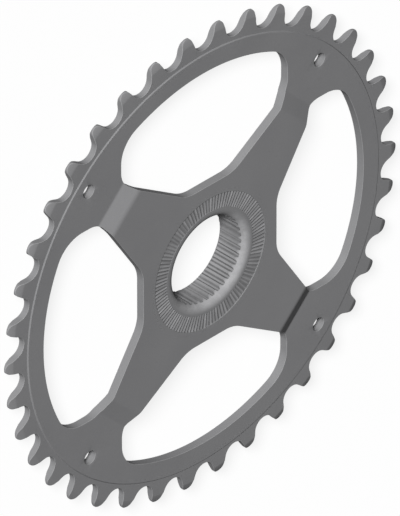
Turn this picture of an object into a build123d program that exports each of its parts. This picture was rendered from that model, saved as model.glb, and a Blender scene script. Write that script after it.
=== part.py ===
from build123d import *
import os
from math import asin, atan2, cos, degrees, pi, radians, sin, tan

# Chain and teeth, in millimetres
chain_pitch = 12.7
tooth_count = 38
seat_r = 3.72  # round seat of the chain's roller, centred on the pitch circle
tip_round = 2.0  # radius of each tooth's rounded tip
tooth_height = 2.93  # tip above the pitch circle
tooth_thickness = 2.1
bevel_length = 2.8  # radial length of the flat bevel on both sides of each tooth
bevel_depth = 0.79  # what the bevel takes off each side at the tip

# Pressed sheet: the rim, four arms and the raised hub are one piece of one thickness
sheet = 2.75
rim_width = 7.826  # from the roller seats' bottoms in to the windows
rim_step = 1.176  # from the roller seats' bottoms in to where the rim's full thickness ends
dish = 2.27  # the hub's front face above the rim's
bend_run = 5.6  # between a flange's two bend lines, along the arm
bend_inset = 0.31  # from the outer bend line to where the arm widens into the rim
bend_r = 2.0  # inside radius of both bends
strip_half_width = 20.0

# Four windows
window_count = 4
window_floor = 27.2  # straight inner edge, from the bore's axis
window_floor_half = 9.48  # half of that edge, to the corner with the arm's side
arm_end_inset = 11.24  # along the arm, from the rim's inner radius back to where it widens
arm_end_half = 6.29  # half of the arm's width there, and the window's corner
floor_fillet = 10.9
side_fillet = 7.3
rim_fillet = 10.5

# Small holes through the rim, in line with the arms
rim_hole_r = 2.2
rim_hole_inset = 5.64  # from the edge of the rim's full thickness in to the holes' centres

# Collar drawn backwards out of the hub, splined inside
collar_length = 10.5  # from the collar's back end to the hub's front face
collar_outer_r = 17.0
collar_root = 1.2  # cone between the collar and the hub's back face
collar_end_chamfer = 0.4
bore_end_chamfer = 0.55  # at the bore's back end, a little deeper than the splines
spline_count = 38
spline_phase = -45.0  # direction of one spline's crest
spline_crest_r = 13.83
spline_depth = 0.5
spline_land_share = 0.31  # share of the splines' pitch at a crest and at a groove's floor
spline_floor_share = 0.33
lip_outer_r = 17.13  # where the bore's rounded lip leaves the hub's face
lip_r = 3.2
lead_angle = 33.0  # slope of the lead-in below the lip, from the bore's axis

# Ring of fine radial serrations on the hub's front face
serration_count = 108
serration_inner_r = 17.5
serration_outer_r = 22.5
serration_recess = 0.15  # the crests lie this far below the hub's face
serration_angle = 20.0  # slope of each serration's flank
serration_share = 0.94  # share of the pitch that a groove takes, the rest is its flat crest
serration_end_gap = 0.05  # from the grooves' flat ends to the recess's round walls

# Levels above the collar's back end, where the origin is
hub_front = collar_length
hub_back = hub_front - sheet
rim_front = hub_front - dish
rim_back = rim_front - sheet
band_back = rim_back + (sheet - tooth_thickness) / 2

# Derived sizes
pitch_r = chain_pitch / (2 * sin(pi / tooth_count))
tip_r = pitch_r + tooth_height
tooth_angle = 360 / tooth_count
rim_inner_r = pitch_r - seat_r - rim_width
rim_outer_r = pitch_r - seat_r - rim_step
rim_hole_circle_r = rim_outer_r - rim_hole_inset
arm_angle = 180 / window_count  # from a window's centre line to the next arm's
arm_end = rim_inner_r - arm_end_inset
bend_rim_line = arm_end - bend_inset
bend_hub_line = bend_rim_line - bend_run
strip_reach = (bend_rim_line + rim_inner_r) / 2  # the arms' strips end in the windows or over the rim
cut_margin = 1.0  # how far cutters stand out past what they cut
thin_edge = 0.5  # the tooth band's blank past the tips


def on_circle(radius, angle):
    """The point of the XY plane at this radius and angle in degrees."""
    return (radius * cos(radians(angle)), radius * sin(radians(angle)))


# Gap between two teeth, from the middle of one tip to the middle of the next:
# a round roller seat, straight flanks that touch both rounds, and half of each rounded tip
with BuildSketch() as tooth_gap:
    half_tooth = tooth_angle / 2
    tip_centre = Vector(*on_circle(tip_r - tip_round, half_tooth))
    seat_centre = Vector(pitch_r, 0)
    across = tip_centre - seat_centre
    flank_angle = degrees(atan2(across.Y, across.X) - asin((seat_r + tip_round) / across.length))
    seat_end = seat_centre + Vector(*on_circle(seat_r, flank_angle + 90))
    tip_start = tip_centre - Vector(*on_circle(tip_round, flank_angle + 90))
    with BuildLine():
        CenterArc(seat_centre, seat_r, flank_angle + 90, 90 - flank_angle)
        Line(seat_end, tip_start)
        tip = CenterArc(tip_centre, tip_round, flank_angle - 90, 90 - flank_angle + half_tooth)
        outside = on_circle(tip_r + 2 * cut_margin, half_tooth)
        Polyline(tip @ 1, outside, (outside[0], 0))
        mirror(about=Plane.XZ)
    make_face()

# Window between two arms, drawn for the one on the +X side
with BuildSketch() as window:
    corner = Vector(arm_end, -arm_end_half).rotate(Axis.Z, arm_angle)
    with BuildLine():
        Polyline(
            (window_floor, window_floor_half),
            (corner.X, corner.Y),
            (rim_inner_r, corner.Y),
            (rim_inner_r, -corner.Y),
            (corner.X, -corner.Y),
            (window_floor, -window_floor_half),
            close=True,
        )
    make_face()
    Circle(rim_inner_r, mode=Mode.INTERSECT)
    fillet(window.vertices().sort_by(Axis.X)[:2], floor_fillet)
    fillet(window.vertices().sort_by(lambda v: abs(v.X - corner.X))[:2], side_fillet)
    fillet(window.vertices().group_by(lambda v: round(abs(v.Y), 3))[-1].sort_by(Axis.X)[-2:], rim_fillet)

# One groove of the bore's splines, with sloped flanks
with BuildSketch() as spline_groove:
    spline_floor_r = spline_crest_r + spline_depth
    spline_pitch = 360 / spline_count
    mouth_angle = spline_pitch * (1 - spline_land_share) / 2
    floor_angle = spline_pitch * spline_floor_share / 2
    with BuildLine():
        floor_arc = CenterArc((0, 0), spline_floor_r, -floor_angle, 2 * floor_angle)
        crest_top = on_circle(spline_crest_r, mouth_angle)
        crest_low = on_circle(spline_crest_r, -mouth_angle)
        inside = spline_crest_r - cut_margin
        Polyline(
            floor_arc @ 1,
            crest_top,
            (inside, crest_top[1]),
            (inside, crest_low[1]),
            crest_low,
            floor_arc @ 0,
        )
    make_face()

# One groove of the serration ring: a V that widens and deepens outwards, with its crests level
crest_level = hub_front - serration_recess
with BuildPart() as serration_groove:
    v_slope = tan(radians(serration_angle))
    v_half = pi * serration_outer_r / serration_count
    with BuildSketch(Plane.YZ):
        with BuildLine():
            v_top = crest_level + v_half * v_slope
            Polyline((0, crest_level), (v_half, v_top), (-v_half, v_top), close=True)
        make_face()
    deepening = v_slope * tan(pi / serration_count * serration_share)
    extrude(amount=serration_outer_r + cut_margin, dir=(1, 0, -deepening))
    with BuildSketch(Plane.XY.offset(crest_level)):
        with Locations(((serration_inner_r + serration_outer_r) / 2, 0)):
            Rectangle(serration_outer_r - serration_inner_r - 2 * serration_end_gap, 2 * v_half)
    extrude(amount=-cut_margin, mode=Mode.INTERSECT)

with BuildPart() as chainring:
    # Thinner tooth band: a polygon with one side for each tooth, bevelled on both sides up to a thin
    # edge past the tips, which the gaps between the teeth take off
    with BuildSketch(Plane.XY.offset(band_back)):
        RegularPolygon(tip_r + thin_edge, tooth_count, major_radius=False, rotation=tooth_angle / 2)
    extrude(amount=tooth_thickness)
    bevel_in = bevel_length + thin_edge
    bevel_down = bevel_in * bevel_depth / bevel_length
    for side_face in (chainring.faces().sort_by(Axis.Z)[-1], chainring.faces().sort_by(Axis.Z)[0]):
        chamfer(side_face.edges(), bevel_in, bevel_down, reference=side_face)

    # Rim of full thickness, open inside
    with BuildSketch(Plane.XY.offset(rim_back)):
        Circle(rim_outer_r)
    extrude(amount=sheet)
    with BuildSketch(Plane.XY.offset(rim_back)):
        Circle(bend_rim_line)
    extrude(amount=sheet, mode=Mode.SUBTRACT)

    # Raised hub and arms: two pressed strips that cross, each bent down to the rim at both ends
    for strip_angle in (arm_angle, -arm_angle):
        strip_plane = Plane.XZ.rotated((0, 0, strip_angle))
        with BuildSketch(strip_plane):
            with BuildLine():
                front_line = FilletPolyline(
                    (-strip_reach, rim_front),
                    (-bend_rim_line, rim_front),
                    (-bend_hub_line, hub_front),
                    (bend_hub_line, hub_front),
                    (bend_rim_line, rim_front),
                    (strip_reach, rim_front),
                    radius=(bend_r, bend_r + sheet, bend_r + sheet, bend_r),
                )
                offset(front_line, amount=sheet, side=Side.RIGHT)
            make_face()
        extrude(amount=strip_half_width, both=True)

    # Collar behind the hub, chamfered at its end and widened at its root
    with BuildSketch(Plane.XZ):
        with BuildLine():
            Polyline(
                (0, 0),
                (collar_outer_r - collar_end_chamfer, 0),
                (collar_outer_r, collar_end_chamfer),
                (collar_outer_r, hub_back - collar_root),
                (collar_outer_r + collar_root, hub_back),
                (0, hub_back),
                close=True,
            )
        make_face()
    revolve(axis=Axis.Z)

    # Bore at the splines' crests: a chamfer at its back end, a conical lead-in and a rounded lip in front
    with BuildSketch(Plane.XZ):
        with BuildLine():
            lip = CenterArc((lip_outer_r, hub_front - lip_r), lip_r, 90, 90 - lead_angle)
            lead_height = ((lip @ 1).X - spline_crest_r) / tan(radians(lead_angle))
            Polyline(
                lip @ 1,
                (spline_crest_r, (lip @ 1).Y - lead_height),
                (spline_crest_r, bore_end_chamfer),
                (spline_crest_r + bore_end_chamfer + cut_margin, -cut_margin),
                (0, -cut_margin),
                (0, hub_front + cut_margin),
                (lip_outer_r, hub_front + cut_margin),
                lip @ 0,
            )
        make_face()
    revolve(axis=Axis.Z, mode=Mode.SUBTRACT)

    # Windows, cut through the strips and the rim alike
    with BuildSketch(Plane.XY.offset(-cut_margin)):
        with PolarLocations(0, window_count):
            add(window.sketch)
    extrude(amount=hub_front + 2 * cut_margin, mode=Mode.SUBTRACT)

    # Gaps between the teeth: a tooth stands on the +X axis
    with BuildSketch(Plane.XY.offset(rim_back)):
        with PolarLocations(0, tooth_count, start_angle=half_tooth):
            add(tooth_gap.sketch)
    extrude(amount=sheet, mode=Mode.SUBTRACT)

    # Splines the whole length of the bore: their grooves run out in the lead-in
    with BuildSketch(Plane.XY.offset(-cut_margin)):
        with PolarLocations(0, spline_count, start_angle=spline_phase + spline_pitch / 2):
            add(spline_groove.sketch)
    extrude(amount=hub_front + 2 * cut_margin, mode=Mode.SUBTRACT)

    # Serration ring: a shallow recess, then its grooves
    with BuildSketch(Plane.XY.offset(crest_level)):
        Circle(serration_outer_r)
        Circle(serration_inner_r, mode=Mode.SUBTRACT)
    extrude(amount=serration_recess + cut_margin, mode=Mode.SUBTRACT)
    with PolarLocations(0, serration_count):
        add(serration_groove.part, mode=Mode.SUBTRACT)

    # Small through holes in line with the arms
    with BuildSketch(Plane.XY.offset(rim_back)):
        with PolarLocations(rim_hole_circle_r, window_count, start_angle=arm_angle):
            Circle(rim_hole_r)
    extrude(amount=sheet, mode=Mode.SUBTRACT)

chainring.part.label = "chainring"
os.makedirs("parts", exist_ok=True)
export_step(chainring.part, "parts/chainring.step")
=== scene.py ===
"""A toothed bicycle chainring of pressed steel, dressed for a studio picture.

The part lies on the end of its collar. Its origin is the centre of that end, +Z is the bore's
axis and one tooth's tip points along +X. Lengths are in metres, as everywhere in this file.
"""

import math

import bmesh
import bpy
import numpy as np
from bpy.props import FloatProperty, FloatVectorProperty, IntProperty, PointerProperty
from mathutils import Matrix, Vector


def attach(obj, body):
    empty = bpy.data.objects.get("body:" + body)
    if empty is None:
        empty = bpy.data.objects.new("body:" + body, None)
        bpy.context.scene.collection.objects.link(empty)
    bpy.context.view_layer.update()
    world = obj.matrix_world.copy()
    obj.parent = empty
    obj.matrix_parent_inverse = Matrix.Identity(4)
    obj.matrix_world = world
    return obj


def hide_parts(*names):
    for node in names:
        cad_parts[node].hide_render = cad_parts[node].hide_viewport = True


bl_info = {
    "name": "Chainring",
    "version": (1, 0, 0),
    "blender": (4, 5, 0),
    "location": "3D View > Sidebar > Chainring",
    "description": "Builds a pressed steel bicycle chainring and its studio",
    "category": "Add Mesh",
}

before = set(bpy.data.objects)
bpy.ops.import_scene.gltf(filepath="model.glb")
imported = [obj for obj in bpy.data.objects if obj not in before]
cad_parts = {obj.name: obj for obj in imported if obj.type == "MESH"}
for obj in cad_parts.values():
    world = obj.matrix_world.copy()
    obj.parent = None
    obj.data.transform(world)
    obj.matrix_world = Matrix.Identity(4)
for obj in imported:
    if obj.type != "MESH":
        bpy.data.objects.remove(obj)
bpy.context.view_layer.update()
MM = 0.001
SMALLEST_GAP = 2e-6  # points nearer than this are one point
SAME_ANGLE = 1e-6  # angles nearer than this are one angle
SHARP_ANGLE = math.radians(32.0)  # faces that turn by more than this meet in a sharp edge
RING_START = -math.pi / 4  # the rings round the bore start on an arm's centre line
EDGE_STEPS = np.radians(np.linspace(0.0, 90.0, 4))  # along a sheared edge's quarter circle

# A spline's groove over one pitch: place in the pitch, share of the full depth, share of the
# painted shade (a darker coat in the groove's corners, where shade falls)
SPLINE_STATIONS = np.array(
    [
        (0.0, 0.0, 0.0),
        (0.09, 0.0, 0.0),
        (0.145, 0.0, 0.1),
        (0.17, 0.05, 0.5),
        (0.32, 0.94, 0.9),
        (0.345, 1.0, 1.0),
        (0.4, 1.0, 0.25),
        (0.5, 1.0, 0.0),
        (0.6, 1.0, 0.25),
        (0.655, 1.0, 1.0),
        (0.68, 0.94, 0.9),
        (0.83, 0.05, 0.5),
        (0.855, 0.0, 0.1),
        (0.91, 0.0, 0.0),
    ]
)


def length(name, description, millimetres):
    """A length property, given in millimetres and kept in metres."""
    return FloatProperty(
        name=name,
        description=description,
        default=millimetres * MM,
        precision=5,
        unit="LENGTH",
        subtype="DISTANCE",
    )


def angle(name, description, degrees):
    """An angle property, given in degrees and kept in radians."""
    return FloatProperty(
        name=name,
        description=description,
        default=math.radians(degrees),
        unit="ROTATION",
        subtype="ANGLE",
    )


def share(name, description, default):
    """A number between 0 and 1."""
    return FloatProperty(
        name=name, description=description, default=default, min=0.0, max=1.0, subtype="FACTOR"
    )


def colour(name, description, default):
    """A colour, as linear red, green and blue."""
    return FloatVectorProperty(
        name=name,
        description=description,
        default=default,
        size=3,
        min=0.0,
        max=1.0,
        subtype="COLOR",
    )


class PlateSizes(bpy.types.PropertyGroup):
    """The pressed plate: hub, arms and rim."""

    hub_front: length("Hub front", "Height of the hub's front face", 10.5)
    sheet: length("Sheet", "Thickness of the pressed sheet", 2.75)
    dish: length("Dish", "The hub's front face above the rim's", 2.27)
    rim_inner: length("Rim inner radius", "Windows end here", 65.35)
    rim_outer: length("Rim outer radius", "The bevelled step to the tooth band starts here", 71.48)
    step_width: length("Step width", "Radial width of that bevel", 0.33)
    bend_hub: length("Inner bend line", "From the axis, square to an arm", 48.2)
    bend_rim: length("Outer bend line", "From the axis, square to an arm", 53.8)
    bend_radius: length("Bend radius", "Inside radius of both bends", 2.0)
    window_floor: length("Window floor", "Straight inner edge, from the axis", 27.2)
    floor_half: length("Window floor half", "Half of that edge's length", 9.48)
    corner_x: length("Window corner X", "Where an arm's side meets the window's end edge", 42.709)
    corner_y: length("Window corner Y", "The same corner, from the window's centre line", 33.814)
    floor_round: length("Floor corner radius", "Round between a window's floor and an arm", 10.9)
    side_round: length("Arm corner radius", "Round where an arm widens into the rim", 7.3)
    rim_round: length("Rim corner radius", "Round between a window's end and the rim", 10.5)
    hole_radius: length("Rim hole radius", "Small holes in line with the arms", 2.2)
    hole_circle: length("Rim hole circle", "Radius of the circle the holes stand on", 66.36)
    edge_round: length("Edge round", "Tumbled round on the sheared edges", 0.11)


class ToothSizes(bpy.types.PropertyGroup):
    """The tooth band."""

    count: IntProperty(name="Teeth", description="Number of teeth", default=38, min=12)
    pitch: length("Chain pitch", "From one roller to the next", 12.7)
    seat: length("Seat radius", "Round seat of a roller", 3.72)
    tip_round: length("Tip radius", "Round of each tooth's tip", 2.0)
    rise: length("Tooth rise", "Tip above the pitch circle", 2.927)
    thickness: length("Band thickness", "Thickness of the tooth band", 2.1)
    relief_length: length("Relief length", "Radial length of the curved bevel", 2.8)
    relief_depth: length("Relief depth", "What the bevel takes off a side at the tip", 0.79)
    relief_arc: length("Relief arc", "Radius of the bevel's curve", 12.7)


class HubSizes(bpy.types.PropertyGroup):
    """Serrated ring, rounded lip, splined bore and collar."""

    serrations: IntProperty(
        name="Serrations", description="Grooves in the ring", default=108, min=8
    )
    ring_inner: length("Ring inner radius", "Serrated ring", 17.5)
    ring_outer: length("Ring outer radius", "Serrated ring", 22.5)
    ring_recess: length("Ring recess", "Crests below the hub's face", 0.15)
    groove_slope: angle("Groove slope", "Slope of each serration's flank", 20.0)
    groove_share: share("Groove share", "Share of the pitch a groove takes", 0.94)
    end_gap: length("End gap", "From a groove's end to the ring's edge", 0.05)
    splines: IntProperty(name="Splines", description="Grooves in the bore", default=38, min=8)
    spline_crest: length("Spline crest radius", "Bore radius between the grooves", 13.83)
    spline_depth: length("Spline depth", "Depth of the bore's grooves", 0.5)
    lip_outer: length("Lip outer radius", "Where the lip leaves the ring's recess", 17.03)
    lip_round: length("Lip round", "Radius of the lip", 3.2)
    lead_angle: angle("Lead-in slope", "Below the lip, from the axis", 33.0)
    collar: length("Collar radius", "Outside of the collar", 17.0)
    collar_root: length("Collar root", "Round between the collar and the hub's back", 1.5)
    collar_chamfer: length("Collar chamfer", "At the collar's back end", 0.4)
    bore_chamfer: length("Bore chamfer", "On the splines, at the collar's back end", 0.55)


class SteelLook(bpy.types.PropertyGroup):
    """The dark phosphate coat on the steel."""

    coat: colour("Coat", "Even dark grey", (0.148, 0.148, 0.152))
    thin_coat: colour("Thin coat", "Where the coat is a little thinner", (0.17, 0.17, 0.173))
    # Lighter coat: real wear on the sheared edges, the bore and the collar's ends, and a painted
    # highlight on the bore's lip and the serrations' crests
    worn_and_highlit: colour("Lighter coat", "On handled edges and the bore's lip", (0.25, 0.25, 0.255))
    # Painted shade: a near black coat laid in the grooves' valleys and corners, where shade falls
    painted_shade: colour("Shade", "Dark residue in narrow grooves", (0.025, 0.025, 0.026))
    shine: share("Shine", "How much the coat mirrors", 0.001)
    roughness: share("Roughness", "Of the even coat", 0.6)
    metal: share("Metal", "How much the steel shows through the coat", 0.0)
    grain: length("Grain", "Size of the fine grain", 0.35)
    grain_relief: length("Grain relief", "Height of the fine grain", 0.04)


class StudioLook(bpy.types.PropertyGroup):
    """Floor, lamps and camera."""

    floor: colour("Floor", "Pale floor, as it is seen", (0.93, 0.93, 0.93))
    floor_bounce: colour("Floor bounce", "What the floor gives back to the part", (0.4, 0.4, 0.4))
    floor_white: share("Floor white", "How much of the seen floor is plain white", 0.85)
    floor_half: length("Floor half", "From the part to the floor's edge", 25000.0)
    key_turn: angle("Key turn", "Direction of the main lamp round the part", 135.0)
    key_height: angle("Key height", "Main lamp above the floor", 28.0)
    key_width: angle("Key width", "How wide the main lamp looks from the part", 14.0)
    key_level: FloatProperty(
        name="Key level", description="Strength of the main lamp", default=6.5, min=0.0
    )
    sky_level: FloatProperty(
        name="Sky level", description="Light from all round", default=0.025, min=0.0
    )
    lens: FloatProperty(
        name="Lens", description="Focal length in millimetres", default=1300.0, min=50.0
    )
    view_height: length("View height", "What the long side of the picture takes in", 149.13)
    aim_left: length("Aim left", "The view's middle, left of the rim face's centre", 1.39)
    aim_up: length("Aim up", "The view's middle, above the rim face's centre", 0.228)


class Surface:
    """Grids of points with their faces, their share of the lighter coat (wear and painted
    highlight) and of painted shade, made into one mesh.
    """

    def __init__(self):
        self.points, self.wear, self.painted_shade, self.faces, self.total = [], [], [], [], 0

    def grid(self, points, wear=0.0, painted_shade=0.0, closed=False):
        """Adds a grid of points, rows by columns, joined by four-sided faces.

        closed joins the last column to the first. Wear with painted highlight, and painted shade,
        run from 0 to 1 at each point.
        """
        rows, columns = points.shape[:2]
        index = self.total + np.arange(rows * columns).reshape(rows, columns)
        if closed:
            index = np.concatenate([index, index[:, :1]], axis=1)
        quads = np.stack([index[:-1, :-1], index[:-1, 1:], index[1:, 1:], index[1:, :-1]], axis=-1)
        self.faces.append(quads.reshape(-1, 4))
        self.points.append(points.reshape(-1, 3))
        self.wear.append(np.broadcast_to(wear, (rows, columns)).ravel())
        self.painted_shade.append(np.broadcast_to(painted_shade, (rows, columns)).ravel())
        self.total += rows * columns

    def bridge(self, first, second):
        """Joins two closed rings of unlike counts round +Z with triangles.

        Both start at the same angle and run the same way. Each step along either ring makes one
        triangle with the last point passed on the other.
        """

        def turned(ring):
            """Angles from the ring's first point; the tiny shift keeps that one from 2 pi."""
            around = np.arctan2(ring[:, 1], ring[:, 0])
            return np.mod(around - around[0] + 1e-9, 2 * np.pi)

        a, b = turned(first), turned(second)
        n, m = len(a), len(b)
        base = self.total
        a_end, b_end = np.append(a[1:], 2 * np.pi), np.append(b[1:], 2 * np.pi)
        i, j = np.arange(n), np.arange(m)
        across_b = np.searchsorted(np.append(b, 2 * np.pi), a_end, side="right") - 1
        across_a = np.searchsorted(a, b_end, side="left") - 1
        along_a = np.stack([base + i, base + (i + 1) % n, base + n + across_b % m], axis=-1)
        along_b = np.stack([base + n + (j + 1) % m, base + n + j, base + across_a], axis=-1)
        self.faces += [along_a, along_b]
        self.points += [first, second]
        self.wear.append(np.zeros(n + m))
        self.painted_shade.append(np.zeros(n + m))
        self.total += n + m

    def make(self, name):
        """Makes the mesh object, with doubled points merged and every face turned outwards."""
        mesh = bpy.data.meshes.new(name)
        faces = [face for block in self.faces for face in block.tolist()]
        mesh.from_pydata(np.concatenate(self.points).tolist(), [], faces)
        for title, values in (("worn_and_highlit", self.wear), ("painted_shade", self.painted_shade)):
            attribute = mesh.attributes.new(title, "FLOAT", "POINT")
            attribute.data.foreach_set("value", np.concatenate(values).astype(np.float32))
        work = bmesh.new()
        work.from_mesh(mesh)
        bmesh.ops.remove_doubles(work, verts=work.verts, dist=SMALLEST_GAP)
        bmesh.ops.recalc_face_normals(work, faces=work.faces)
        work.to_mesh(mesh)
        work.free()
        mesh.polygons.foreach_set("use_smooth", np.ones(len(mesh.polygons), bool))
        mesh.set_sharp_from_angle(angle=SHARP_ANGLE)
        piece = bpy.data.objects.new(name, mesh)
        bpy.context.scene.collection.objects.link(piece)
        return piece


def polar(radius, around):
    """x and y of points at a radius and an angle, stacked on the last axis."""
    return np.stack([radius * np.cos(around), radius * np.sin(around)], axis=-1)


def lifted(flat, height):
    """Points of the plane, raised to one height or to one each."""
    return np.concatenate([flat, np.broadcast_to(height, flat.shape[:-1])[..., None]], axis=-1)


def sheared_edge(outline, inward, edge, top, low):
    """The cut edge of a sheet, as rows of points from its front face to its back face.

    Each point of the outline carries the same profile: a quarter circle of the edge radius from
    the front face down to the wall, the straight wall, and a quarter circle out to the back
    face. inward is the unit direction from the outline into the sheet; top and low give the
    heights of both faces at points of the plane.
    """
    rows, wear = [], []
    for face, sign, steps in ((top, -1.0, EDGE_STEPS), (low, 1.0, EDGE_STEPS[::-1])):
        for step in steps:
            flat = outline + inward * edge * (1 - math.sin(step))
            rows.append(lifted(flat, face(flat) + sign * edge * (1 - math.cos(step))))
            wear.append(math.sin(2 * step))
    return np.stack(rows), np.array(wear)[:, None]


def folded(reach, top, drop, first, second, first_round, second_round):
    """Height along an arm: level, down a straight slope between two bends, level again.

    The two bend lines are where the straight runs would meet. A circle of the given radius
    touches both runs at each bend, so the height is the circle's own there.
    """
    slope = math.atan2(drop, second - first)
    first_tangent = first_round * math.tan(slope / 2)
    second_tangent = second_round * math.tan(slope / 2)
    down = top - (reach - first) * math.tan(slope)
    into = np.maximum(reach - (first - first_tangent), 0)
    crown = top - first_round + np.sqrt(np.maximum(first_round**2 - into**2, 0))
    out = np.maximum((second + second_tangent) - reach, 0)
    trough = top - drop + second_round - np.sqrt(np.maximum(second_round**2 - out**2, 0))
    height = np.where(reach < first + first_tangent * math.cos(slope), crown, down)
    return np.where(reach > second - second_tangent * math.cos(slope), trough, height)


class Plate:
    """Outlines and heights of the pressed plate, from a window's centre line to an arm's."""

    def __init__(self, sizes):
        self.s = sizes
        self.slope = math.atan2(sizes.dish, sizes.bend_rim - sizes.bend_hub)
        self.back_shift = sizes.sheet * math.tan(self.slope / 2)
        self.wide_round = sizes.bend_radius + sizes.sheet
        self.wide_tangent = self.wide_round * math.tan(self.slope / 2)
        self.flat_from = sizes.bend_rim + sizes.bend_radius * math.tan(self.slope / 2)
        across = (sizes.corner_x - sizes.corner_y) / math.sqrt(2)
        self.rim_from = math.hypot(self.flat_from, across)

    def face(self, flat, top, first, second, first_round, second_round):
        """Height of a face of the plate: folded along the arm inside, level over the rim."""
        reach = (np.abs(flat[..., 0]) + np.abs(flat[..., 1])) / math.sqrt(2)
        height = folded(reach, top, self.s.dish, first, second, first_round, second_round)
        over_rim = np.hypot(flat[..., 0], flat[..., 1]) > self.rim_from
        return np.where(over_rim, top - self.s.dish, height)

    def front(self, flat):
        """Height of the front face."""
        s = self.s
        top, first, second = s.hub_front, s.bend_hub, s.bend_rim
        return self.face(flat, top, first, second, self.wide_round, s.bend_radius)

    def back(self, flat):
        """Height of the back face, one sheet's thickness under the front, square to it."""
        s = self.s
        top = s.hub_front - s.sheet
        first, second = s.bend_hub - self.back_shift, s.bend_rim - self.back_shift
        return self.face(flat, top, first, second, s.bend_radius, self.wide_round)

    def window_edge(self):
        """Half of a window's outline, from the middle of its floor to that of its outer edge.

        Straight runs joined by circles that touch both, sampled finely. Returns each sample's
        place and heading, its length along the outline, and the centre of the rim corner's round.
        """
        run_samples, bow_samples = 60, 240
        s = self.s
        side = math.atan2(s.corner_y - s.floor_half, s.corner_x - s.window_floor)
        floor_tangent = s.floor_round * math.tan((math.pi / 2 - side) / 2)
        side_tangent = s.side_round * math.tan(side / 2)
        to_side = np.array([math.cos(side), math.sin(side)])
        floor_start = np.array([s.window_floor, s.floor_half - floor_tangent])
        arm_start = np.array([s.corner_x, s.corner_y]) - to_side * side_tangent
        round_y = s.corner_y - s.rim_round
        round_x = math.sqrt((s.rim_inner - s.rim_round) ** 2 - round_y**2)
        round_end = math.atan2(round_y, round_x)

        def run(start, end):
            t = np.linspace(0, 1, run_samples)[:, None]
            start, end = np.array(start), np.array(end)
            heading = math.atan2(*(end - start)[::-1])
            return start + (end - start) * t, np.full(run_samples, heading)

        def bow(centre, radius, first, last):
            t = np.linspace(first, last, bow_samples)
            heading = t + math.copysign(math.pi / 2, last - first)
            return np.array(centre) + polar(radius, t), heading

        floor_centre = floor_start + np.array([s.floor_round, 0.0])
        arm_centre = arm_start + np.array([math.sin(side), -math.cos(side)]) * s.side_round
        floor_bow = bow(floor_centre, s.floor_round, math.pi, math.pi / 2 + side)
        arm_bow = bow(arm_centre, s.side_round, side + math.pi / 2, math.pi / 2)
        rim_bow = bow((round_x, round_y), s.rim_round, math.pi / 2, round_end)
        pieces = [
            run((s.window_floor, 0.0), floor_start),
            floor_bow,
            run(floor_bow[0][-1], arm_start),
            arm_bow,
            run(arm_bow[0][-1], rim_bow[0][0]),
            rim_bow,
            bow((0.0, 0.0), s.rim_inner, round_end, 0.0),
        ]
        place = np.concatenate([places for places, _ in pieces])
        heading = np.concatenate([headings for _, headings in pieces])
        steps = np.linalg.norm(np.diff(place, axis=0), axis=1)
        return place, heading, np.concatenate([[0.0], np.cumsum(steps)]), (round_x, round_y)


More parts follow.
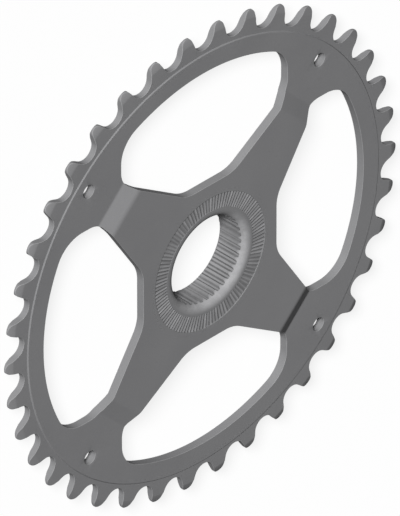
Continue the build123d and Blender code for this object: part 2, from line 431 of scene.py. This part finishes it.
def plate_eighth(surface, sizes, ring_angles, ring_radius, teeth_columns):
    """Adds one eighth of the plate, its mirror image and their three turns.

    Columns run from the window's outline to a facing path: the serrated ring, the arm's centre
    line, a patch round the rim hole, and the rim's outer circle. Inside the patch the columns
    run to the hole's centre. Each column is a straight line on the plane, raised by the height
    of the face, so columns that cross a bend stay on its lines.
    """
    arm_columns, bend_columns, outer_columns = 5, 9, 13
    near_columns, side_columns, patch_columns = 9, 29, 9
    fan_end = 30.0 * MM  # how far out along the arm the ring's columns reach on the outline
    patch_radius = 62.0 * MM  # the patch's near side, from the axis
    near_insets = (3.4 * MM, 1.2 * MM)  # from its first and last column's start to the rim round
    rim_lead = 6.0 * MM  # the rim's columns start this far before the window's outer edge

    plate = Plate(sizes)
    place, heading, along, (round_x, round_y) = plate.window_edge()
    reach = (place[:, 0] + place[:, 1]) / math.sqrt(2)
    until = int(np.argmax(reach > plate.flat_from + 0.5 * MM)) + 1  # just past the bends

    def along_at(distance):
        """Length along the outline where it is this far out along the arm."""
        return np.interp(distance, reach[:until], along[:until])

    crown, level = plate.wide_tangent, plate.wide_tangent * math.cos(plate.slope)
    hub_bends = np.linspace(sizes.bend_hub - crown, sizes.bend_hub + level, bend_columns)
    back_first = sizes.bend_rim - plate.back_shift - level
    rim_bends = np.linspace(back_first, plate.flat_from, bend_columns)
    folds = np.concatenate([hub_bends, rim_bends])
    to_fold = np.linspace(0.0, 1.0, arm_columns)
    arm_inner = ring_radius + (folds[0] - ring_radius) * to_fold
    edge_inner = fan_end + (folds[0] - fan_end) * to_fold

    # The path that faces the window's outline, span by span, and each column's start on the outline
    column = 2 * math.pi / teeth_columns
    patch_turn = math.pi / 4 - patch_columns * column
    diagonal = np.array([1.0, 1.0]) / math.sqrt(2)
    ring = polar(ring_radius, ring_angles)
    near = polar(patch_radius, np.linspace(math.pi / 4, patch_turn, near_columns))
    side = polar(np.linspace(patch_radius, sizes.rim_outer, side_columns), patch_turn)
    rim = polar(sizes.rim_outer, np.arange(patch_turn, -column / 2, -column))
    outer_arm = np.linspace(plate.flat_from, patch_radius, outer_columns)
    fold_end = along_at(plate.flat_from)
    near_start, near_end = (
        np.interp(round_x - inset, place[until:, 0], along[until:]) for inset in near_insets
    )
    rim_start = along[-1] - math.atan2(round_y, round_x) * sizes.rim_inner - rim_lead
    spans = [
        (ring, np.linspace(0.0, along_at(fan_end), len(ring))),
        (arm_inner[:, None] * diagonal, along_at(edge_inner)),
        (folds[:, None] * diagonal, along_at(folds)),
        (outer_arm[:, None] * diagonal, np.linspace(fold_end, near_start, outer_columns)),
        (near, np.linspace(near_start, near_end, near_columns)),
        (side, np.linspace(near_end, rim_start, side_columns)),
        (rim, np.linspace(rim_start, along[-1], len(rim))),
    ]
    path = np.concatenate([spans[0][0]] + [points[1:] for points, _ in spans[1:]])
    start = np.concatenate([spans[0][1]] + [starts[1:] for _, starts in spans[1:]])
    outline = np.stack([np.interp(start, along, place[:, axis]) for axis in (0, 1)], axis=-1)
    turn = np.interp(start, along, heading)
    inward = np.stack([-np.sin(turn), np.cos(turn)], axis=-1)
    window, window_wear = sheared_edge(outline, inward, sizes.edge_round, plate.front, plate.back)

    # The patch round the hole: its outer path, and the hole's outline facing it
    hole_centre = sizes.hole_circle * diagonal
    far = polar(sizes.rim_outer, patch_turn + column * np.arange(patch_columns + 1))
    patch = np.concatenate([near, side[1:], far[1:]])
    outwards = (patch - hole_centre) / np.linalg.norm(patch - hole_centre, axis=1)[:, None]
    hole_edge = hole_centre + outwards * sizes.hole_radius
    hole, hole_wear = sheared_edge(hole_edge, outwards, sizes.edge_round, plate.front, plate.back)

    blocks = []
    for edge_rows, wear, facing in ((window, window_wear, path), (hole, hole_wear, patch)):
        front = lifted(facing, plate.front(facing))[None]
        back = lifted(facing, plate.back(facing))[None]
        rows = np.concatenate([front, edge_rows, back])
        blocks.append((rows, np.concatenate([[[0.0]], wear, [[0.0]]])))
    for quarter in range(4):
        c, s = round(math.cos(quarter * math.pi / 2)), round(math.sin(quarter * math.pi / 2))
        turned = np.array([[c, s, 0], [-s, c, 0], [0, 0, 1]], float)
        for mirror in (1.0, -1.0):
            flip = np.diag([1.0, mirror, 1.0])
            for points, wear in blocks:
                surface.grid(points @ flip @ turned, wear)


def tooth_outline(sizes):
    """One tooth's outline from gap middle to gap middle, in its own plane, tip along +X.

    Half of the roller's round seat, a straight flank that touches seat and tip, and the round
    tip, then the mirror image. Returns each point, the unit direction into the tooth there, and
    the tip's radius from the axis.
    """
    round_points = 8
    half = math.pi / sizes.count
    pitch_radius = sizes.pitch / (2 * math.sin(half))
    tip_radius = pitch_radius + sizes.rise
    seat = pitch_radius * np.array([math.cos(half), -math.sin(half)])
    tip = np.array([tip_radius - sizes.tip_round, 0.0])
    across = tip - seat
    lean = math.asin((sizes.seat + sizes.tip_round) / np.linalg.norm(across))
    flank = math.atan2(across[1], across[0]) - lean
    seat_turn = np.linspace(math.pi - half, flank + math.pi / 2, round_points)
    tip_turn = np.linspace(flank - math.pi / 2, 0.0, round_points)
    seat_points = seat + polar(sizes.seat, seat_turn)
    tip_points = tip + polar(sizes.tip_round, tip_turn)
    middle = (seat_points[-1:] + tip_points[:1]) / 2
    outline = np.concatenate([seat_points, middle, tip_points])
    flank_in = polar(1.0, flank + math.pi / 2)[None]
    inward = np.concatenate([polar(1.0, seat_turn), flank_in, -polar(1.0, tip_turn)])
    flip = np.array([1.0, -1.0])
    return (
        np.concatenate([outline, outline[-2::-1] * flip]),
        np.concatenate([inward, inward[-2::-1] * flip]),
        tip_radius,
    )


def tooth_band(surface, plate_sizes, sizes):
    """Adds the tooth band, one tooth's grid turned round the axis, and returns its columns' count.

    Columns run from the tooth's outline to equally spaced points of the step's foot, and up its
    bevel to the rim. Both faces are level up to the relief, where they fall away along a circle
    of the relief's radius to the given depth at the tip.
    """
    least_run = 0.2 * MM  # where the relief has no room, its rows end this far from the edge
    relief_parts = np.linspace(0.2, 1.0, 5)  # where its rows lie, as parts of the way across
    outline, inward, tip_radius = tooth_outline(sizes)
    columns = len(outline) - 1
    rim_front = plate_sizes.hub_front - plate_sizes.dish
    middle = rim_front - plate_sizes.sheet / 2
    relief_from = tip_radius - sizes.relief_length
    chord = math.hypot(sizes.relief_length, sizes.relief_depth)
    lean = math.asin(chord / (2 * sizes.relief_arc))
    start = math.atan2(sizes.relief_depth, sizes.relief_length) - lean

    def fall(flat):
        into = np.maximum(flat[..., 0] - relief_from, 0.0) + sizes.relief_arc * math.sin(start)
        return sizes.relief_arc * math.cos(start) - np.sqrt(sizes.relief_arc**2 - into**2)

    def front(flat):
        return middle + sizes.thickness / 2 - fall(flat)

    def back(flat):
        return middle - sizes.thickness / 2 + fall(flat)

    edge, edge_wear = sheared_edge(outline, inward, plate_sizes.edge_round, front, back)
    half = math.pi / sizes.count
    around = np.linspace(-half, half, columns + 1)
    foot = polar(plate_sizes.rim_outer + plate_sizes.step_width, around)
    brow = polar(plate_sizes.rim_outer, around)

    def face_rows(first, height):
        """Rows from the edge's first row across the relief to the step's foot."""
        fold = np.minimum(first[:, 0] - least_run, relief_from)
        aside, inwards = foot[:, 1] - first[:, 1], first[:, 0] - foot[:, 0]
        rows = []
        for part in relief_parts:
            x = first[:, 0] + (fold - first[:, 0]) * part
            y = first[:, 1] + aside * (first[:, 0] - x) / inwards
            rows.append(np.stack([x, y], axis=-1))
        rows.append(foot)
        return np.stack([lifted(row, height(row)) for row in rows])

    above = face_rows(edge[0][:, :2], front)[::-1]
    below = face_rows(edge[-1][:, :2], back)
    brow_front = lifted(brow, rim_front)[None]
    brow_back = lifted(brow, rim_front - plate_sizes.sheet)[None]
    rows = np.concatenate([brow_front, above, edge, below, brow_back])
    unworn = np.zeros((len(above) + 1, 1))
    wear = np.concatenate([unworn, edge_wear, unworn])
    for tooth in range(sizes.count):
        turn = 2 * math.pi * tooth / sizes.count
        c, s = math.cos(turn), math.sin(turn)
        surface.grid(rows @ np.array([[c, s, 0], [-s, c, 0], [0, 0, 1]]), wear)
    return columns * sizes.count


def serrated_ring(surface, sizes, hub_front):
    """Adds the ring of radial V grooves in its recess.

    A groove's width is a fixed share of the pitch at every radius, and its flanks have one
    slope, so its depth is the radius times the tangent of half of that share of the pitch,
    times the slope. Returns the columns' angles, the outer circle at the hub's face, and the
    inner one at the recess's level, which goes on to the lip.
    """
    # Share of painted shade laid in the serrations' valleys, where shade falls
    valley_shade = 0.3
    half_share = sizes.groove_share / 2
    phases = np.array([0.0, 0.5 - half_share, 0.5, 0.5 + half_share])
    pitch = 2 * math.pi / sizes.serrations
    around = RING_START + (np.arange(sizes.serrations)[:, None] + phases).ravel() * pitch
    valley = np.tile([0.0, 0.0, 1.0, 0.0], sizes.serrations)
    crest = hub_front - sizes.ring_recess
    deepen = math.tan(pitch * half_share) * math.tan(sizes.groove_slope)
    outer_end, inner_end = sizes.ring_outer - sizes.end_gap, sizes.ring_inner + sizes.end_gap
    rows, wear, painted_shade = [], [], []
    for radius, level, groove in (
        (sizes.ring_outer, hub_front, 0.0),
        (sizes.ring_outer, crest, 0.0),
        (outer_end, crest, 0.0),
        (outer_end, crest, 1.0),
        (inner_end, crest, 1.0),
        (inner_end, crest, 0.0),
        (sizes.ring_inner, crest, 0.0),
    ):
        rows.append(lifted(polar(radius, around), level - groove * valley * radius * deepen))
        # Painted highlight: the lighter coat on the crests and groove edges; painted shade in the
        # valleys
        wear.append(groove * (1.0 - valley))
        painted_shade.append(groove * valley * valley_shade)
    surface.grid(np.stack(rows), np.stack(wear), np.stack(painted_shade), closed=True)
    return around, rows[0], rows[-1]


def bore_and_collar(surface, sizes, plate_sizes):
    """Adds the lip, the splined bore and the collar, and returns their first and last rings.

    A profile carried round the axis: the lip's circle, a straight lead-in, the bore, a chamfer
    at 45 degrees, the collar's end, its chamfer and wall, and the round at its root. Where a
    spline's groove is wider than the lead-in, the groove's own radius is kept, so each groove
    runs out where the lead-in reaches it, and the chamfer too.
    """
    lip_steps, root_steps = 15, 7
    lip_wear = 1.6  # how fast the painted highlight rises along the lip, up to its full strength
    bore_wear, bore_end_wear, collar_end_wear = 0.3, 0.5, 0.4
    # Share of painted shade laid in the splines' grooves, where shade falls
    bore_shade = 0.8
    recess = plate_sizes.hub_front - sizes.ring_recess
    hub_back = plate_sizes.hub_front - plate_sizes.sheet
    phases, depth, shade = SPLINE_STATIONS.T
    pitch = 2 * math.pi / sizes.splines
    around = RING_START + (np.arange(sizes.splines)[:, None] + phases).ravel() * pitch
    groove = sizes.spline_crest + sizes.spline_depth * np.tile(depth, sizes.splines)

    # Each ring's radius, height, lighter coat (painted highlight on the lip and lead-in, wear
    # further in) and painted shade
    rings = []
    # The lip grows lighter towards the bore: a painted highlight
    for part in np.linspace(0.0, 1.0, lip_steps):
        turn = math.pi / 2 + (math.pi / 2 - sizes.lead_angle) * part
        radius = sizes.lip_outer + sizes.lip_round * math.cos(turn)
        height = recess - sizes.lip_round * (1 - math.sin(turn))
        rings.append((radius, height, min(1.0, lip_wear * part), 0.0))
    lead_radius, lead_height = rings[-1][:2]
    # Down the lead-in the painted highlight fades and the grooves' painted shade begins
    for part in (0.5, 1.0):
        radius = lead_radius + (groove - lead_radius) * part
        height = lead_height - (lead_radius - radius) / math.tan(sizes.lead_angle)
        rings.append((radius, height, 1.0 - part, bore_shade * part))
    bore_end = sizes.spline_crest + sizes.bore_chamfer
    collar, chamfer, root = sizes.collar, sizes.collar_chamfer, sizes.collar_root
    rings += [
        (groove, bore_end - groove, bore_wear, bore_shade),
        (bore_end, 0.0, bore_end_wear, 0.0),
        (collar - chamfer, 0.0, collar_end_wear, 0.0),
        (collar, chamfer, collar_end_wear, 0.0),
    ]
    for turn in np.linspace(0.0, math.pi / 2, root_steps):
        radius = collar + root * (1 - math.cos(turn))
        rings.append((radius, hub_back - root * (1 - math.sin(turn)), 0.0, 0.0))
    rows = np.stack([lifted(polar(radius, around), height) for radius, height, _, _ in rings])
    wear = np.array([ring[2] for ring in rings])[:, None]
    # The grooves' painted shade, spread by the table's last column
    painted_shade = np.array([ring[3] for ring in rings])[:, None] * np.tile(shade, sizes.splines)
    surface.grid(rows, wear, painted_shade, closed=True)
    return rows[0], rows[-1]


def coated_steel(look):
    """Dark grey coat on steel: slow changes of tone, a fine grain, worn edges, a painted highlight
    on the bore's lip and the serrations' crests, and painted shade in the grooves.
    """
    material = bpy.data.materials.new("coated_steel")
    material.use_nodes = True
    tree = material.node_tree
    tree.nodes.clear()

    def node(kind, x, y, **settings):
        made = tree.nodes.new(kind)
        made.location = (x, y)
        for key, value in settings.items():
            setattr(made, key, value)
        return made

    def noise(x, y, scale, detail, roughness):
        """Noise on the part's own coordinates; scale is in waves per metre."""
        made = node("ShaderNodeTexNoise", x, y)
        made.inputs["Scale"].default_value = scale
        made.inputs["Detail"].default_value = detail
        made.inputs["Roughness"].default_value = roughness
        tree.links.new(place.outputs["Object"], made.inputs["Vector"])
        return made.outputs["Fac"]

    def ranged(source, x, y, low, high, out_low, out_high):
        """source carried from one range to another and held at its ends."""
        made = node("ShaderNodeMapRange", x, y)
        ends = {"From Min": low, "From Max": high, "To Min": out_low, "To Max": out_high}
        for key, value in ends.items():
            made.inputs[key].default_value = value
        tree.links.new(source, made.inputs["Value"])
        return made.outputs["Result"]

    def product(x, y, first, second):
        """Two values multiplied."""
        made = node("ShaderNodeMath", x, y, operation="MULTIPLY")
        tree.links.new(first, made.inputs[0])
        tree.links.new(second, made.inputs[1])
        return made.outputs[0]

    def mixed(x, y, factor, first, second):
        """Two colours, given or from a socket, mixed by factor."""
        made = node("ShaderNodeMix", x, y, data_type="RGBA")
        tree.links.new(factor, made.inputs["Factor"])
        for socket, value in ((made.inputs[6], first), (made.inputs[7], second)):
            if isinstance(value, bpy.types.NodeSocket):
                tree.links.new(value, socket)
            else:
                socket.default_value = (*value, 1.0)
        return made.outputs[2]

    place = node("ShaderNodeTexCoord", -1400, 0)
    clouds = noise(-1150, 300, scale=38.0, detail=4.0, roughness=0.55)
    grain = noise(-1150, 0, scale=1.0 / look.grain, detail=3.0, roughness=0.6)
    patches = noise(-1150, -300, scale=420.0, detail=3.0, roughness=0.6)
    # Lighter coat: wear on edges and ends, painted highlight on the lip and the serrations' crests
    worn_and_highlit = node("ShaderNodeAttribute", -1150, -600, attribute_name="worn_and_highlit")
    # Painted shade in the grooves
    painted_shade = node("ShaderNodeAttribute", -1150, -800, attribute_name="painted_shade")

    # Where the coat is thin: the clouds give up to 0.45 of it and the grain up to 0.55
    tone = ranged(clouds, -900, 300, 0.35, 0.65, 0.0, 0.45)
    speck = ranged(grain, -900, 60, 0.3, 0.7, 0.0, 1.0)
    thin = node("ShaderNodeMath", -700, 200, operation="MULTIPLY_ADD")
    thin.inputs[1].default_value = 0.55
    tree.links.new(speck, thin.inputs[0])
    tree.links.new(tone, thin.inputs[2])

    # The lighter coat and the painted shade come in patches: most lightened where the painted shade
    # is weakest
    lighten_patches = ranged(patches, -900, -300, 0.4, 0.62, 0.55, 0.9)
    shade_patches = ranged(patches, -900, -800, 0.4, 0.62, 0.8, 0.6)
    lightened = product(-700, -450, lighten_patches, worn_and_highlit.outputs["Fac"])
    shade = product(-700, -800, shade_patches, painted_shade.outputs["Fac"])
    even = mixed(-450, 250, thin.outputs[0], look.coat, look.thin_coat)
    # Mixes in the lighter coat (wear and painted highlight), then the painted shade
    brightened = mixed(-350, 200, lightened, even, look.worn_and_highlit)
    finish = mixed(-150, 200, shade, brightened, look.painted_shade)

    # The grain also shows in the roughness and, faintly, as relief
    rough = ranged(grain, -450, -60, 0.3, 0.7, look.roughness - 0.05, look.roughness + 0.06)
    bump = node("ShaderNodeBump", -250, -250)
    bump.inputs["Strength"].default_value = 0.22
    bump.inputs["Distance"].default_value = look.grain_relief
    tree.links.new(grain, bump.inputs["Height"])

    shader = node("ShaderNodeBsdfPrincipled", 0, 100)
    shader.inputs["Metallic"].default_value = look.metal
    shader.inputs["IOR"].default_value = 1.5
    shader.inputs["Specular IOR Level"].default_value = look.shine
    tree.links.new(finish, shader.inputs["Base Color"])
    tree.links.new(rough, shader.inputs["Roughness"])
    tree.links.new(bump.outputs["Normal"], shader.inputs["Normal"])
    output = node("ShaderNodeOutputMaterial", 300, 100)
    tree.links.new(shader.outputs["BSDF"], output.inputs["Surface"])
    return material


def white_where_seen(tree):
    """Adds nodes that give 1 to rays that see, mirror or pass through glass, and 0 to others."""
    rays = tree.nodes.new("ShaderNodeLightPath")
    seen = rays.outputs["Is Camera Ray"]
    for name in ("Is Glossy Ray", "Is Transmission Ray"):
        either = tree.nodes.new("ShaderNodeMath")
        either.operation = "MAXIMUM"
        tree.links.new(seen, either.inputs[0])
        tree.links.new(rays.outputs[name], either.inputs[1])
        seen = either.outputs[0]
    return seen


def pale_floor(look):
    """Pale matt floor that keeps the part's shadow and is seen nearly white."""
    material = bpy.data.materials.new("pale_floor")
    material.use_nodes = True
    tree = material.node_tree
    tree.nodes.clear()
    seen = white_where_seen(tree)
    tint = tree.nodes.new("ShaderNodeMix")
    tint.data_type = "RGBA"
    tint.inputs[6].default_value = (*look.floor_bounce, 1.0)
    tint.inputs[7].default_value = (*look.floor, 1.0)
    tree.links.new(seen, tint.inputs["Factor"])
    matt = tree.nodes.new("ShaderNodeBsdfDiffuse")
    tree.links.new(tint.outputs[2], matt.inputs["Color"])
    white = tree.nodes.new("ShaderNodeEmission")
    white.inputs["Strength"].default_value = 1.0
    part = tree.nodes.new("ShaderNodeMath")
    part.operation = "MULTIPLY"
    part.inputs[1].default_value = look.floor_white
    tree.links.new(seen, part.inputs[0])
    mix = tree.nodes.new("ShaderNodeMixShader")
    tree.links.new(part.outputs[0], mix.inputs["Fac"])
    tree.links.new(matt.outputs[0], mix.inputs[1])
    tree.links.new(white.outputs[0], mix.inputs[2])
    output = tree.nodes.new("ShaderNodeOutputMaterial")
    tree.links.new(mix.outputs[0], output.inputs["Surface"])
    return material


def lay_floor(scene, look):
    """A square floor under the part."""
    half = look.floor_half
    corners = [(-half, -half, 0), (half, -half, 0), (half, half, 0), (-half, half, 0)]
    mesh = bpy.data.meshes.new("floor")
    mesh.from_pydata(corners, [], [(0, 1, 2, 3)])
    floor = bpy.data.objects.new("floor", mesh)
    scene.collection.objects.link(floor)
    floor.data.materials.append(pale_floor(look))


def hang_key(scene, look):
    """The main lamp, turned to the part from its direction and height."""
    lamp = bpy.data.lights.new("key_lamp", "SUN")
    lamp.energy = look.key_level
    lamp.angle = look.key_width
    key = bpy.data.objects.new("key_lamp", lamp)
    turn, height = look.key_turn, look.key_height
    level = math.cos(height)
    towards = Vector((math.cos(turn) * level, math.sin(turn) * level, math.sin(height)))
    key.rotation_euler = towards.to_track_quat("Z", "Y").to_euler()
    key.location = towards
    scene.collection.objects.link(key)


def fill_air(scene, look):
    """Even light from all round, seen as plain white."""
    world = bpy.data.worlds.new("studio_air")
    world.use_nodes = True
    tree = world.node_tree
    air = tree.nodes["Background"]
    level = tree.nodes.new("ShaderNodeMapRange")
    level.inputs["To Min"].default_value = look.sky_level
    level.inputs["To Max"].default_value = 1.0
    tree.links.new(white_where_seen(tree), level.inputs["Value"])
    tree.links.new(level.outputs["Result"], air.inputs["Strength"])
    air.inputs["Color"].default_value = (1.0, 1.0, 1.0, 1.0)
    scene.world = world


def set_camera(scene, look, rim_front):
    """A long lens that looks down a cube's diagonal, with +X and +Z rising at equal slopes.

    Its distance is the height of the view times the lens over the sensor's long side.
    """
    right = Vector((1, 0, 1)) / math.sqrt(2)
    up = Vector((1, 2, -1)) / math.sqrt(6)
    back = Vector((-1, 1, 1)) / math.sqrt(3)
    data = bpy.data.cameras.new("camera")
    data.lens = look.lens
    data.sensor_width = 36.0
    distance = look.view_height * look.lens / data.sensor_width
    data.clip_start, data.clip_end = 0.1, distance * 4
    middle = Vector((0, 0, rim_front)) - right * look.aim_left + up * look.aim_up
    turned = Matrix((right, up, back)).transposed().to_4x4()
    camera = bpy.data.objects.new("camera", data)
    camera.matrix_world = Matrix.Translation(middle + back * distance) @ turned
    scene.collection.objects.link(camera)
    scene.camera = camera


class CHAINRING_OT_build(bpy.types.Operator):
    """Build the chainring as one closed skin: plate, tooth band, serrated ring, bore and collar"""

    bl_idname = "chainring.build"
    bl_label = "Build chainring"

    def execute(self, context):
        scene = context.scene
        plate, teeth, hub = scene.chainring_plate, scene.chainring_teeth, scene.chainring_hub
        surface = Surface()
        columns = tooth_band(surface, plate, teeth)
        around, ring_outer, ring_inner = serrated_ring(surface, hub, plate.hub_front)
        eighth = around[(around > -SAME_ANGLE) & (around < math.pi / 4 + SAME_ANGLE)]
        plate_eighth(surface, plate, eighth, hub.ring_outer, columns)
        lip, root = bore_and_collar(surface, hub, plate)
        surface.bridge(lip, ring_inner)
        behind = lifted(ring_outer[:, :2], plate.hub_front - plate.sheet)
        surface.bridge(root, behind)
        piece = surface.make("chainring_body")
        even = piece.modifiers.new("even_shading", "WEIGHTED_NORMAL")
        even.keep_sharp = True
        even.weight = 60
        piece.data.materials.append(coated_steel(scene.chainring_steel))
        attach(piece, "root")
        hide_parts("chainring")
        return {"FINISHED"}


class CHAINRING_OT_studio(bpy.types.Operator):
    """Lay the pale floor, hang the lamps and set the camera"""

    bl_idname = "chainring.studio"
    bl_label = "Set up studio"

    def execute(self, context):
        scene = context.scene
        look, plate = scene.chainring_studio, scene.chainring_plate
        scene.view_settings.view_transform = "Standard"
        lay_floor(scene, look)
        hang_key(scene, look)
        fill_air(scene, look)
        set_camera(scene, look, plate.hub_front - plate.dish)
        return {"FINISHED"}


class CHAINRING_PT_panel(bpy.types.Panel):
    """Sizes, colours and steps"""

    bl_label = "Chainring"
    bl_idname = "CHAINRING_PT_panel"
    bl_space_type = "VIEW_3D"
    bl_region_type = "UI"
    bl_category = "Chainring"

    def draw(self, context):
        layout, scene = self.layout, context.scene
        for operator in (CHAINRING_OT_build, CHAINRING_OT_studio):
            layout.operator(operator.bl_idname)
        for title, group in (
            ("Plate", scene.chainring_plate),
            ("Teeth", scene.chainring_teeth),
            ("Hub", scene.chainring_hub),
            ("Steel", scene.chainring_steel),
            ("Studio", scene.chainring_studio),
        ):
            box = layout.box()
            box.label(text=title)
            for name in group.bl_rna.properties.keys():
                if name not in ("rna_type", "name"):
                    box.prop(group, name)


GROUPS = {
    "chainring_plate": PlateSizes,
    "chainring_teeth": ToothSizes,
    "chainring_hub": HubSizes,
    "chainring_steel": SteelLook,
    "chainring_studio": StudioLook,
}
OTHERS = (CHAINRING_OT_build, CHAINRING_OT_studio, CHAINRING_PT_panel)


def register():
    """Registers the classes and the scene's settings."""
    for name, group in GROUPS.items():
        bpy.utils.register_class(group)
        setattr(bpy.types.Scene, name, PointerProperty(type=group))
    for made in OTHERS:
        bpy.utils.register_class(made)


def unregister():
    """Takes them away again."""
    for made in reversed(OTHERS):
        bpy.utils.unregister_class(made)
    for name, group in GROUPS.items():
        delattr(bpy.types.Scene, name)
        bpy.utils.unregister_class(group)


def main():
    """Builds the part and its studio."""
    register()
    bpy.ops.chainring.build()
    bpy.ops.chainring.studio()


if __name__ == "__main__":
    main()
